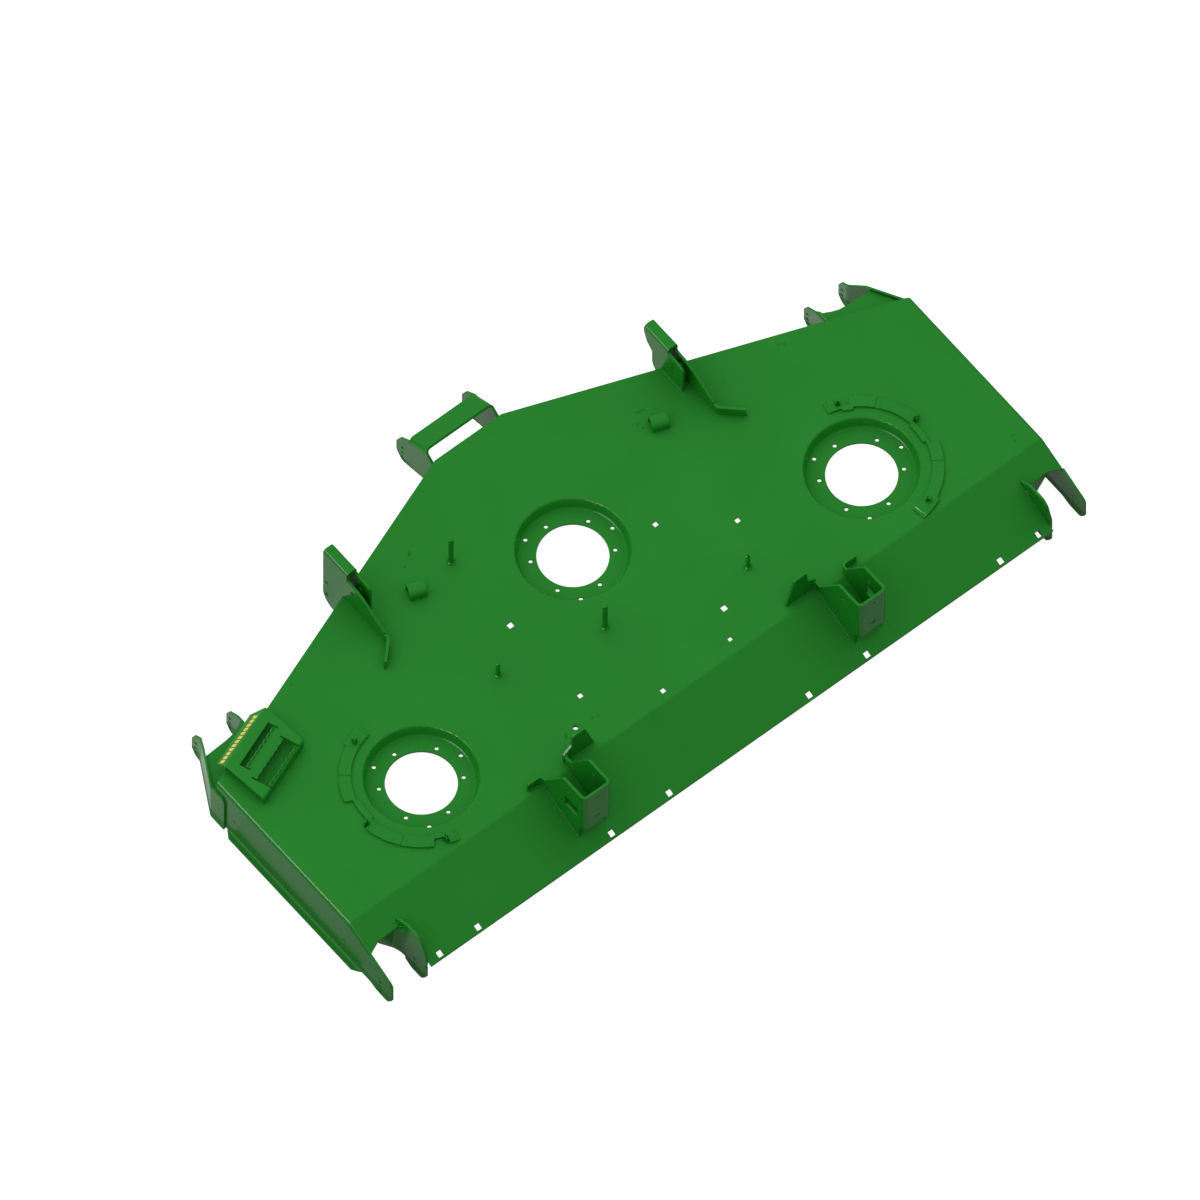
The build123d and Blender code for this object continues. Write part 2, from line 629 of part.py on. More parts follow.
# Front centre bracket: one sheet folded over two wheel plates by a sloping web
web_sin = sin(radians(CENTER_WEB_ANGLE))
web_cos = cos(radians(CENTER_WEB_ANGLE))
web_front_y = CENTER_WEB_REAR_Y + CENTER_WEB_LENGTH * web_cos
web_front_z = CENTER_WEB_REAR_Z - CENTER_WEB_LENGTH * web_sin
drop_y = CENTER_WEB_BEND * web_sin
drop_z = CENTER_WEB_BEND * web_cos
center_side = (
    (NOSE_Y, -86),
    (NOSE_Y + 45, -97),
    (CENTER_FRONT_Y - 27, CENTER_BOTTOM),
    (CENTER_FRONT_Y - 17, CENTER_BOTTOM),
    (CENTER_FRONT_Y, -90),
    (CENTER_FRONT_Y, -54),
    (CENTER_FRONT_Y - 11, -32),
    (web_front_y - drop_y / 2, web_front_z - drop_z / 2),
    (web_front_y - drop_y, web_front_z - drop_z),
    (CENTER_WEB_REAR_Y - drop_y, CENTER_WEB_REAR_Z - drop_z),
    (NOSE_Y, -4),
)
web_plane = Plane(
    origin=(0, CENTER_WEB_REAR_Y, CENTER_WEB_REAR_Z),
    x_dir=(1, 0, 0),
    z_dir=(0, -web_cos, web_sin),
)
web_section = (
    (-CENTER_HALF_WIDTH, -CENTER_WEB_BEND - 4),
    (-CENTER_HALF_WIDTH, 0),
    (CENTER_HALF_WIDTH, 0),
    (CENTER_HALF_WIDTH, -CENTER_WEB_BEND - 4),
)
with BuildPart() as front_center_bracket:
    right_plate = Plane.YZ.offset(CENTER_HALF_WIDTH)
    left_plate = Plane.YZ.offset(-CENTER_HALF_WIDTH + BRACKET_SHEET)
    with BuildSketch(right_plate, left_plate):
        add(outline(center_side, (0, 20, 10, 12, 14, 12, 14, 0, 0, 0, 0)))
        add(height_holes(CENTER_HOLE_Y, CENTER_HOLE_Z, ARM_HOLE_RADIUS), mode=Mode.SUBTRACT)
    extrude(amount=-BRACKET_SHEET)
    with BuildSketch(web_plane):
        add(folded(web_section, BRACKET_SHEET, CENTER_WEB_BEND, Side.RIGHT))
    extrude(amount=-CENTER_WEB_LENGTH)
save(front_center_bracket, "front_center_bracket")

# Front mount tower: a narrow channel whose long outer plate hooks over the front skirt
tower_outer_x = FRONT_TOWER_X + FRONT_TOWER_WIDTH
outer_wall_y = diagonal_y(tower_outer_x - BRACKET_SHEET)
inner_wall_y = diagonal_y(FRONT_TOWER_X)
tower_front_y = outer_wall_y + FRONT_TOWER_REACH
tower_rear_y = tower_front_y - FRONT_TOWER_DEPTH
tower_top = DECK_TOP + FRONT_TOWER_HEIGHT
tower_shoulder = tower_top - 14
tower_foot = DECK_TOP - FRONT_TOWER_DROP
tail_y = outer_wall_y - FRONT_TOWER_TAIL
pin_hole = (tower_front_y - 98, DECK_TOP + 52.3)
front_holes = ((tower_front_y - 13, DECK_TOP - 14.7), (tower_front_y - 13, DECK_TOP - 62.7))
outer_plate = (
    (tower_front_y, tower_shoulder),
    (tower_front_y, tower_foot),
    (outer_wall_y, tower_foot),
    (outer_wall_y, DECK_TOP),
    (tail_y + 6, DECK_TOP),
    (tail_y + 6, DECK_TOP + 28.6),
    (tail_y + 77, DECK_TOP + 69),
    (tail_y + 99, DECK_TOP + 76),
    (tower_rear_y, DECK_TOP + 80),
    (tower_rear_y, tower_shoulder),
)
inner_plate = (
    (tower_front_y, tower_shoulder),
    (tower_front_y, DECK_TOP + 82),
    (tower_front_y - 9, DECK_TOP + 54),
    (tower_front_y - 33, DECK_TOP + 26),
    (tower_front_y - 31, DECK_TOP + 3),
    (tower_front_y - 41, DECK_TOP - 18),
    (tower_front_y - 46, DECK_TOP - 46),
    (inner_wall_y, DECK_TOP - 46),
    (inner_wall_y, DECK_TOP),
    (tower_rear_y - 50, DECK_TOP),
    (tower_rear_y - 50, DECK_TOP + 85),
    (tower_rear_y, tower_shoulder),
)
cap_section = (
    (FRONT_TOWER_X, tower_shoulder - 4),
    (FRONT_TOWER_X, tower_top),
    (tower_outer_x, tower_top),
    (tower_outer_x, tower_shoulder - 4),
)
tail_line = (
    (tower_outer_x, tail_y + 30),
    (tower_outer_x, tail_y - 4),
    (tower_outer_x + FRONT_TOWER_TOE_ACROSS, tail_y - FRONT_TOWER_TOE_BACK),
)
with BuildPart() as front_mount_tower:
    with BuildSketch(Plane.YZ.offset(tower_outer_x)):
        add(outline(outer_plate, (0, 38, 0, 0, 0, 6, 14, 14, 3, 0)))
        with Locations(pin_hole, *front_holes):
            Circle(TOWER_HOLE_RADIUS, mode=Mode.SUBTRACT)
    extrude(amount=-BRACKET_SHEET)
    with BuildSketch(Plane.YZ.offset(FRONT_TOWER_X)):
        add(outline(inner_plate, (0, 8, 20, 10, 6, 10, 6, 0, 0, 0, 12, 0)))
        with Locations(pin_hole):
            Circle(TOWER_HOLE_RADIUS, mode=Mode.SUBTRACT)
    extrude(amount=BRACKET_SHEET)
    with BuildSketch(Plane.XZ.offset(-tower_front_y)):
        add(folded(cap_section, BRACKET_SHEET, FRONT_TOWER_BEND, Side.RIGHT))
    extrude(amount=FRONT_TOWER_DEPTH)
    with BuildSketch(Plane.XY.offset(DECK_TOP)):
        add(folded(tail_line, BRACKET_SHEET, FRONT_TOWER_BEND, Side.RIGHT))
    extrude(amount=FRONT_TOWER_TOE_HEIGHT)
save_pair(front_mount_tower, "front_mount_tower")

# Rear mount tower: a hat section open to the front, standing over the deck's fold
rear_outer_x = REAR_TOWER_X + REAR_TOWER_WIDTH
tab_rear_y = FOLD_Y + REAR_TOWER_LEAD - BRACKET_SHEET
rear_front_y = FOLD_Y + REAR_TOWER_WING_LEAD
rear_wall_y = FOLD_Y - REAR_TOWER_TRAIL
wing_rear_y = rear_front_y - BRACKET_SHEET
rear_top = DECK_TOP + REAR_TOWER_HEIGHT
tab_top = DECK_TOP + REAR_TOWER_TAB_HEIGHT
wing_top = DECK_TOP + WING_HEIGHT
rear_wall_bottom = rear_top - REAR_WALL_LENGTH
rear_middle_x = REAR_TOWER_X + REAR_TOWER_WIDTH / 2
rear_tower_line = (
    (REAR_TOWER_X - 20, wing_rear_y),
    (REAR_TOWER_X, wing_rear_y),
    (REAR_TOWER_X, rear_wall_y),
    (rear_outer_x, rear_wall_y),
    (rear_outer_x, tab_rear_y),
    (rear_outer_x + REAR_TOWER_TAB, tab_rear_y),
)
toe_y = rear_wall_y + REAR_TOWER_BEND + 6
rear_tower_side = (
    (rear_wall_y, rear_top),
    (rear_wall_y + 71, rear_top),
    (FOLD_Y - 0.4, tab_top),
    (rear_front_y, tab_top),
    (rear_front_y, DECK_TOP),
    (FOLD_Y, DECK_TOP),
    (toe_y, apron_top(toe_y)),
    (toe_y, rear_wall_bottom - 7),
    (toe_y - 5, rear_wall_bottom),
    (rear_wall_y, rear_wall_bottom),
)
wing_outline = (
    (REAR_TOWER_X - WING_REACH, DECK_TOP),
    (REAR_TOWER_X + BRACKET_SHEET, DECK_TOP),
    (REAR_TOWER_X + BRACKET_SHEET, tab_top),
    (REAR_TOWER_X - 1, tab_top + 7),
    (REAR_TOWER_X - 17, tab_top + 20),
    (REAR_TOWER_X - 19, wing_top),
    (REAR_TOWER_X - 51, wing_top),
)
with BuildPart() as rear_mount_tower:
    with BuildSketch(Plane.XY.offset(apron_top(toe_y))):
        add(
            folded(
                rear_tower_line,
                BRACKET_SHEET,
                (BRACKET_SHEET, REAR_TOWER_BEND, REAR_TOWER_BEND, BRACKET_SHEET),
                Side.LEFT,
            )
        )
    extrude(amount=rear_top - apron_top(toe_y))
    with BuildSketch(Plane.YZ):
        add(outline(rear_tower_side, (0, 10, 4, 0, 0, 0, 0, 3, 3, 0)))
    extrude(amount=HALF_WIDTH, mode=Mode.INTERSECT)
    with BuildSketch(Plane.XZ.offset(-wing_rear_y)):
        add(outline(wing_outline, (0, 0, 0, 4, 6, 6, 4)))
    extrude(amount=-BRACKET_SHEET)
    with BuildSketch(Plane.YZ.offset(rear_outer_x)):
        with Locations((rear_wall_y + WINDOW_INSET, rear_top - WINDOW_DROP)):
            Rectangle(WINDOW_LENGTH, WINDOW_HEIGHT, align=(Align.MIN, Align.MAX))
    extrude(amount=-2 * BRACKET_SHEET, mode=Mode.SUBTRACT)
    with BuildSketch(Plane.YZ):
        with Locations((rear_wall_y + 56, rear_top - 35)):
            Circle(TOWER_HOLE_RADIUS)
    extrude(amount=HALF_WIDTH, mode=Mode.SUBTRACT)
    with BuildSketch(Plane.XZ.offset(-rear_wall_y)):
        with Locations((rear_middle_x, rear_top - 22), (rear_middle_x, rear_top - 99)):
            Circle(TOWER_HOLE_RADIUS)
    extrude(amount=-2 * BRACKET_SHEET, mode=Mode.SUBTRACT)
save_pair(rear_mount_tower, "rear_mount_tower")


def stud(x, y, radius, height, neck):
    """A round stud on the deck top, with a weld bead at its base and a necked head."""
    with BuildPart() as pin:
        with BuildSketch(Plane.XZ):
            with BuildLine():
                Polyline(
                    (0, DECK_TOP),
                    (radius + WELD_LEG, DECK_TOP),
                    (radius, DECK_TOP + WELD_LEG),
                    (radius, DECK_TOP + height - neck),
                    (radius - STUD_GROOVE, DECK_TOP + height - neck),
                    (radius - STUD_GROOVE, DECK_TOP + height - neck / 2),
                    (radius, DECK_TOP + height - neck / 2),
                    (radius, DECK_TOP + height - STUD_GROOVE),
                    (radius - STUD_GROOVE, DECK_TOP + height),
                    (0, DECK_TOP + height),
                    close=True,
                )
            make_face()
        revolve(axis=Axis.Z)
    return pin.part.moved(Location((x, y, 0)))


with BuildPart() as front_stud:
    add(stud(-218.7, 138.0, STUD_RADIUS, TALL_STUD, 12))
save(front_stud, "tall_stud_front")

with BuildPart() as rear_stud:
    add(stud(-66.4, -189.4, STUD_RADIUS, REAR_STUD, 12))
save(rear_stud, "tall_stud_rear")

with BuildPart() as short_stud:
    add(stud(-315.2, -138.4, SLIM_STUD_RADIUS, SHORT_STUD, 10))
save(short_stud, "short_stud")

with BuildPart() as forked_stud:
    add(stud(259.7, -265.5, SLIM_STUD_RADIUS, SHORT_STUD, 10))
    with Locations((259.7, -265.5, DECK_TOP + SHORT_STUD)):
        Box(4, 4 * SLIM_STUD_RADIUS, 12, mode=Mode.SUBTRACT)
save(forked_stud, "forked_stud")

# Guide clips: two short arches of strip, bent over and welded to the deck
clip_section = (
    (-CLIP_WIDTH / 2, DECK_TOP),
    (-CLIP_WIDTH / 2, DECK_TOP + CLIP_HEIGHT),
    (CLIP_WIDTH / 2, DECK_TOP + CLIP_HEIGHT),
    (CLIP_WIDTH / 2, DECK_TOP),
)
for name, x, y in (("guide_clip_left", -322, 126), ("guide_clip_right", 333, 123)):
    clip_axis = Plane(
        origin=(x, y, 0),
        x_dir=(-sin(radians(CLIP_TURN)), cos(radians(CLIP_TURN)), 0),
        z_dir=(cos(radians(CLIP_TURN)), sin(radians(CLIP_TURN)), 0),
    )
    with BuildPart() as guide_clip:
        with BuildSketch(clip_axis):
            add(folded(clip_section, CLIP_SHEET, CLIP_HEIGHT / 2, Side.RIGHT))
        extrude(amount=CLIP_LENGTH / 2, both=True)
    save(guide_clip, name)

# Guard band: a thin arc beside each outer dish, with a bump on each rim, joggled ends
# and two shallow cross grooves
band_joggles = (
    (BAND_START - 1, BAND_START + BAND_JOGGLE_SPAN),
    (BAND_END - BAND_JOGGLE_SPAN, BAND_END + 1),
)
with BuildPart() as guard_band_right:
    with BuildSketch(Plane.XY.offset(DECK_TOP)):
        with Locations(SPINDLES[1]):
            add(sector(BAND_INNER, BAND_OUTER, BAND_START, BAND_END))
            for start, end in BAND_INNER_BUMPS:
                add(sector(BAND_INNER - BAND_BUMP, BAND_INNER, start, end))
            add(sector(BAND_OUTER, BAND_OUTER + BAND_BUMP, BAND_START, BAND_OUTER_BUMP_END))
    extrude(amount=BAND_SHEET)
    fillet(edges().filter_by(Axis.Z), radius=BAND_BUMP_ROUND)
    with BuildSketch(Plane.XY.offset(DECK_TOP + BAND_SHEET)):
        with Locations(SPINDLES[1]):
            for start, end in band_joggles:
                add(sector(BAND_INNER - BAND_BUMP, BAND_OUTER + 2 * BAND_BUMP, start, end))
    extrude(amount=-BAND_JOGGLE, mode=Mode.SUBTRACT)
    with BuildSketch(Plane.XY.offset(DECK_TOP + BAND_SHEET)):
        with Locations(SPINDLES[1]):
            for start, end in BAND_GROOVES:
                add(sector(BAND_INNER - BAND_BUMP, BAND_OUTER + BAND_BUMP, start, end))
    extrude(amount=-BAND_JOGGLE / 2, mode=Mode.SUBTRACT)
save(guard_band_right, "guard_band_right")

with BuildPart() as guard_band_left:
    middle = Axis((0, -SPINDLE_SETBACK, 0), (0, 0, 1))
    add(guard_band_right.part.rotate(middle, 180))
save(guard_band_left, "guard_band_left")

# Weld tabs: small upright plates, T-shaped in plan, on each band
with BuildPart() as band_tabs_right:
    with BuildSketch(Plane.XY.offset(DECK_TOP + BAND_SHEET)):
        with Locations(SPINDLES[1]):
            for radius, angle in BAND_TABS:
                with PolarLocations(radius, 1, start_angle=angle):
                    Rectangle(BAND_TAB, BAND_TAB_SHEET)
                    with Locations((BAND_TAB_SHEET / 2 - BAND_TAB / 2, 0)):
                        Rectangle(BAND_TAB_SHEET, BAND_TAB)
    extrude(amount=BAND_TAB_HEIGHT)
save(band_tabs_right, "band_tabs_right")

with BuildPart() as band_tabs_left:
    add(band_tabs_right.part.rotate(middle, 180))
save(band_tabs_left, "band_tabs_left")

# Foot step: a folded plate along the left diagonal, its front flange over the edge,
# with two slots whose edges are cut into teeth that stand up between relief slits
along = Vector(cos(radians(DIAGONAL_ANGLE)), sin(radians(DIAGONAL_ANGLE)), 0)
ahead = Vector(-sin(radians(DIAGONAL_ANGLE)), cos(radians(DIAGONAL_ANGLE)), 0)
edge_point = Vector(-HALF_WIDTH, SIDE_FRONT_Y, 0)
step_front_left = edge_point.dot(along) + STEP_INSET
step_top = DECK_TOP + STEP_HEIGHT
step_front = edge_point.dot(ahead) - STEP_SETBACK
step_rear = step_front - STEP_DEPTH
step_section = (
    (step_front + STEP_FLANGE_OUT, step_top - STEP_FLANGE_DROP),
    (step_front, step_top),
    (step_rear, step_top),
    (step_rear, DECK_TOP),
)


def step_left(v):
    """The step's left end, at a place v ahead of the middle, along the diagonal."""
    return step_front_left - (step_front - v) * STEP_RAKE


def step_right(v):
    """The step's right end, at a place v ahead of the middle, along the diagonal."""
    return step_left(v) + STEP_WIDTH


step_plan_front = step_front + STEP_FLANGE_OUT + 1
step_plan_rear = step_rear - 1
step_plan = (
    (step_left(step_front) + STEP_FLANGE_TAPER * 2 / 3, step_plan_front),
    (step_right(step_front) - STEP_FLANGE_TAPER, step_plan_front),
    (step_right(step_front), step_front),
    (step_right(step_plan_rear), step_plan_rear),
    (step_left(step_plan_rear), step_plan_rear),
    (step_left(step_front), step_front),
)
tooth_run = STEP_TOOTH_PITCH * STEP_TOOTH_COUNT
slot_length = tooth_run + 2 * STEP_RELIEF
narrow_rear = step_front - NARROW_SLOT_SETBACK
wide_rear = step_front - WIDE_SLOT_SETBACK
wide_front = wide_rear + WIDE_SLOT_WIDTH
narrow_middle = step_front_left + NARROW_SLOT_INSET
wide_middle = step_front_left + WIDE_SLOT_INSET
tooth_rows = (
    (narrow_middle, narrow_rear - STEP_SHEET, -STEP_RELIEF_DEPTH),
    (wide_middle, wide_rear - STEP_SHEET, -STEP_RELIEF_DEPTH),
    (wide_middle, wide_front, STEP_RELIEF_DEPTH),
)


def tooth_strip(start):
    """A run of saw teeth that stands on the step's upper face."""
    foot = step_top - STEP_SHEET
    points = [(start, foot), (start, step_top)]
    for number in range(STEP_TOOTH_COUNT):
        points.append((start + (number + 0.5) * STEP_TOOTH_PITCH, step_top + STEP_TOOTH_HEIGHT))
        points.append((start + (number + 1) * STEP_TOOTH_PITCH, step_top))
    points.append((start + tooth_run, foot))
    return outline(points)


step_ground = Plane(origin=(0, 0, 0), x_dir=along, z_dir=(0, 0, 1))
step_side = Plane(origin=(0, 0, 0), x_dir=ahead, z_dir=along)
step_front_view = Plane(origin=(0, 0, 0), x_dir=along, z_dir=-ahead)
with BuildPart() as foot_step:
    with BuildSketch(step_side.offset(step_left(step_plan_rear))):
        add(folded(step_section, STEP_SHEET, (2 * STEP_SHEET, 2 * STEP_SHEET), Side.LEFT))
    extrude(amount=step_right(step_plan_front) - step_left(step_plan_rear))
    with BuildSketch(step_ground):
        add(outline(step_plan, (0, 0, 5, 4, 4, 4)))
    extrude(amount=step_top + 1, mode=Mode.INTERSECT)
    with BuildSketch(step_ground.offset(step_top)):
        with Locations((narrow_middle, narrow_rear + NARROW_SLOT_WIDTH / 2)):
            Rectangle(slot_length, NARROW_SLOT_WIDTH)
        with Locations((wide_middle, wide_rear + WIDE_SLOT_WIDTH / 2)):
            Rectangle(slot_length, WIDE_SLOT_WIDTH)
        for row_middle, rear, relief in tooth_rows:
            with Locations((row_middle, rear + STEP_SHEET / 2 + relief / 2)):
                with GridLocations(tooth_run + STEP_RELIEF, 1, 2, 1):
                    Rectangle(STEP_RELIEF, STEP_SHEET + STEP_RELIEF_DEPTH)
    extrude(amount=-2 * STEP_SHEET, mode=Mode.SUBTRACT)
    for row_middle, rear, relief in tooth_rows:
        with BuildSketch(step_front_view.offset(-rear - STEP_SHEET)):
            add(tooth_strip(row_middle - tooth_run / 2))
        extrude(amount=STEP_SHEET)
save(foot_step, "foot_step")
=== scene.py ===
import math

import bmesh
import bpy
from mathutils import Matrix, Vector


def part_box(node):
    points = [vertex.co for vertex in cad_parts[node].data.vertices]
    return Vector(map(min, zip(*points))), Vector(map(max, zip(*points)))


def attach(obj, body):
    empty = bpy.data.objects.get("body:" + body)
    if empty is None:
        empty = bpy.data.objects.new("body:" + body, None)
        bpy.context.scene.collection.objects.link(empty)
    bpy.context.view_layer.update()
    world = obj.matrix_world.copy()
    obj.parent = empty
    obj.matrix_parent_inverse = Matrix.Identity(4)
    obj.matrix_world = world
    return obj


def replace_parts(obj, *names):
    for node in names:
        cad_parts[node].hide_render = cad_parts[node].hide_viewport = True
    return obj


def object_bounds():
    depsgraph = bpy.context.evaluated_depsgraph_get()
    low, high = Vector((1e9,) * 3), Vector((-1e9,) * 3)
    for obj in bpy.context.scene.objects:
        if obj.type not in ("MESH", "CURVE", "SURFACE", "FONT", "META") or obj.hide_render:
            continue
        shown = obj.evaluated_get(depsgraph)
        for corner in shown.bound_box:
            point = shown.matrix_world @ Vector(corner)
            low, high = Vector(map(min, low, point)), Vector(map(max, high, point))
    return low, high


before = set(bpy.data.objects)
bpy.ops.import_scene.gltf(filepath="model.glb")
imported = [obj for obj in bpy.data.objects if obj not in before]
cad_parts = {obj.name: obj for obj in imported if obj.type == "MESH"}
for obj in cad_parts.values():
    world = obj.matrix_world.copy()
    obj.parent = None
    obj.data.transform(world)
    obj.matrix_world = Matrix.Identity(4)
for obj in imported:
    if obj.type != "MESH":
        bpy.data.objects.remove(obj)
cad_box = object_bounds()
MM = 0.001
UP = Vector((0, 0, 1))

# Camera of the photograph: parallel view from behind the deck's left side
VIEW_RIGHT = Vector((0.77692, -0.62960, 0.0))
VIEW_UP = Vector((0.54426, 0.67161, 0.50270))
VIEW_BACK = VIEW_RIGHT.cross(VIEW_UP)
VIEW_WIDTH = 2.5279
VIEW_CENTRE = VIEW_RIGHT * 0.05713 - VIEW_UP * 0.09389
VIEW_DISTANCE = 6.0
VIEW_LIMIT = 100.0

# Paint colours, linear
PAINT = (0.0058, 0.192, 0.0100)
PAINT_DEEP = (0.0052, 0.178, 0.0090)
MARKER = (0.72, 0.66, 0.12)
MARKER_DEEP = (0.55, 0.52, 0.07)

# Enamel: gloss, faint clouds of colour, orange peel and rounded edges, lengths in metres
ENAMEL_ROUGHNESS = 0.26
ENAMEL_SPECULAR = 0.5
ENAMEL_IOR = 1.5
FILM_ROUGHNESS = 0.4
CLOUD_SCALE = 5.0
CLOUD_DETAIL = 3.0
CLOUD_ENDS = (0.3, 0.7)
PEEL_SCALE = 420.0
PEEL_DETAIL = 2.0
PEEL_STRENGTH = 0.06
PEEL_HEIGHT = 0.0004
EDGE_RADIUS = 0.0012
EDGE_SAMPLES = 4

# The paint is scuffed dull along the foot of the walls, from this height down, in metres
SCUFF_TOP = -0.090
SCUFF_BOTTOM = -0.102
SCUFF_ROUGHNESS = 0.60

# Sheet that lies flat has a duller coat than the bends and walls, by how far its normal points
# up. Its colour is paled by a painted reflection, for the sky light it no longer reflects.
STEEP = 0.80
FLAT = 0.90
FLAT_ROUGHNESS = 0.50
FLAT_SPECULAR = 0.05
FLAT_PAINTED_REFLECTION = (2.53, 0.935, 1.84)

# Places on the deck, in millimetres
FOLD_Y = -410.6
APRON_SLOPE = math.tan(math.radians(25.8))
SIDE_FRONT_Y = 30.4
HALF_WIDTH = 941.5
NOSE_Y = 351.4
NOSE_HALF_WIDTH = 90.0
DIAGONAL = (NOSE_Y - SIDE_FRONT_Y) / (HALF_WIDTH - NOSE_HALF_WIDTH)
DECK_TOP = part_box("guard_band_left")[0][2] / MM


def shader(name):
    """A new node material: its tree, its Principled shader, and makers of nodes and ranges."""
    material = bpy.data.materials.new(name)
    material.use_nodes = True
    tree = material.node_tree
    bsdf = tree.nodes["Principled BSDF"]

    def node(kind, **values):
        """A node, with the sockets named in_... set to their values."""
        made = tree.nodes.new(kind)
        for key, value in values.items():
            if key.startswith("in_"):
                made.inputs[key[3:].replace("_", " ")].default_value = value
            else:
                setattr(made, key, value)
        return made

    def ranged(value, start, end, low, high, interpolation="SMOOTHSTEP"):
        """A value that goes from low to high while the given one goes from start to end."""
        made = node("ShaderNodeMapRange", interpolation_type=interpolation)
        made.inputs["From Min"].default_value = start
        made.inputs["From Max"].default_value = end
        made.inputs["To Min"].default_value = low
        made.inputs["To Max"].default_value = high
        tree.links.new(value, made.inputs["Value"])
        return made.outputs["Result"]

    return material, tree, bsdf, node, ranged


def paint(name, low, high, roughness):
    """Glossy enamel over steel sheet, with the faint unevenness of a sprayed coat."""
    material, tree, bsdf, node, ranged = shader(name)
    link = tree.links.new
    place = node("ShaderNodeTexCoord")
    height = node("ShaderNodeSeparateXYZ")
    link(place.outputs["Object"], height.inputs["Vector"])
    surface = node("ShaderNodeNewGeometry")
    facing = node("ShaderNodeSeparateXYZ")
    link(surface.outputs["Normal"], facing.inputs["Vector"])

    # Colour: clouds, with a painted reflection that pales the sheet where it lies flat
    cloud = node("ShaderNodeTexNoise", in_Scale=CLOUD_SCALE, in_Detail=CLOUD_DETAIL)
    link(place.outputs["Object"], cloud.inputs["Vector"])
    ramp = node("ShaderNodeValToRGB")
    for stop, position, colour in zip(ramp.color_ramp.elements, CLOUD_ENDS, (low, high)):
        stop.position = position
        stop.color = (*colour, 1.0)
    link(cloud.outputs["Fac"], ramp.inputs["Fac"])
    painted_reflection = node("ShaderNodeMixRGB", blend_type="MULTIPLY")
    painted_reflection.inputs["Color2"].default_value = (*FLAT_PAINTED_REFLECTION, 1.0)
    link(ranged(facing.outputs["Z"], STEEP, FLAT, 0.0, 1.0), painted_reflection.inputs["Fac"])
    link(ramp.outputs["Color"], painted_reflection.inputs["Color1"])
    link(painted_reflection.outputs["Color"], bsdf.inputs["Base Color"])

    # Surface: rounded edges and orange peel
    peel = node("ShaderNodeTexNoise", in_Scale=PEEL_SCALE, in_Detail=PEEL_DETAIL)
    link(place.outputs["Object"], peel.inputs["Vector"])
    edge = node("ShaderNodeBevel", samples=EDGE_SAMPLES, in_Radius=EDGE_RADIUS)
    bump = node("ShaderNodeBump", in_Strength=PEEL_STRENGTH, in_Distance=PEEL_HEIGHT)
    link(peel.outputs["Fac"], bump.inputs["Height"])
    link(edge.outputs["Normal"], bump.inputs["Normal"])
    link(bump.outputs["Normal"], bsdf.inputs["Normal"])

    # Gloss: duller on flat sheet and where the foot of the walls is scuffed
    scuff = ranged(height.outputs["Z"], SCUFF_TOP, SCUFF_BOTTOM, roughness, SCUFF_ROUGHNESS)
    flat = ranged(facing.outputs["Z"], STEEP, FLAT, roughness, FLAT_ROUGHNESS)
    duller = node("ShaderNodeMath", operation="MAXIMUM")
    link(scuff, duller.inputs[0])
    link(flat, duller.inputs[1])
    link(duller.outputs["Value"], bsdf.inputs["Roughness"])
    specular = ranged(facing.outputs["Z"], STEEP, FLAT, ENAMEL_SPECULAR, FLAT_SPECULAR)
    link(specular, bsdf.inputs["Specular IOR Level"])
    bsdf.inputs["IOR"].default_value = ENAMEL_IOR
    return material


green = paint("green_enamel", PAINT_DEEP, PAINT, ENAMEL_ROUGHNESS)
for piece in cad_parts.values():
    piece.data.materials.clear()
    piece.data.materials.append(green)


def finish_piece(name, mesh, material):
    """Turns a bmesh in millimetres into a piece that rides with the deck."""
    mesh.transform(Matrix.Scale(MM, 4))
    bmesh.ops.recalc_face_normals(mesh, faces=mesh.faces)
    data = bpy.data.meshes.new(name)
    mesh.to_mesh(data)
    mesh.free()
    piece = bpy.data.objects.new(name, data)
    bpy.context.collection.objects.link(piece)
    data.materials.append(material)
    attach(piece, "root")
    return piece


def smooth(piece):
    """Smooth shading over the whole piece."""
    for face in piece.data.polygons:
        face.use_smooth = True


def bridge(mesh, first, second):
    """A closed band of faces between two rings of the same number of corners."""
    for corner in range(len(first)):
        after = (corner + 1) % len(first)
        mesh.faces.new((first[corner], first[after], second[after], second[corner]))


# Weld beads: a round rope of weld laid along each seam, rippled and thinner at its ends
BEAD_SIDES = 8
BEAD_LEG = 1.8
BEAD_END = 0.5
RIPPLE_PITCH = 2.6
RIPPLE_STEPS = 4
RIPPLE_DEPTH = 0.16
UPRIGHT = 0.1


def deck_height(y):
    """Height of the deck's upper face: level, then down the apron."""
    return DECK_TOP - max(0.0, FOLD_Y - y) * APRON_SLOPE


def diagonal_y(x):
    """Y of the front edge at a distance from the middle."""
    return SIDE_FRONT_Y + (HALF_WIDTH - abs(x)) * DIAGONAL


def spaced(points, step):
    """Points at equal steps along a polyline, with the distance run at each."""
    out = []
    run = 0.0
    for start, end in zip(points, points[1:]):
        length = (end - start).length
        count = max(1, round(length / step))
        for number in range(count):
            out.append((start.lerp(end, number / count), run + length * number / count))
        run += length
    out.append((points[-1], run))
    return out


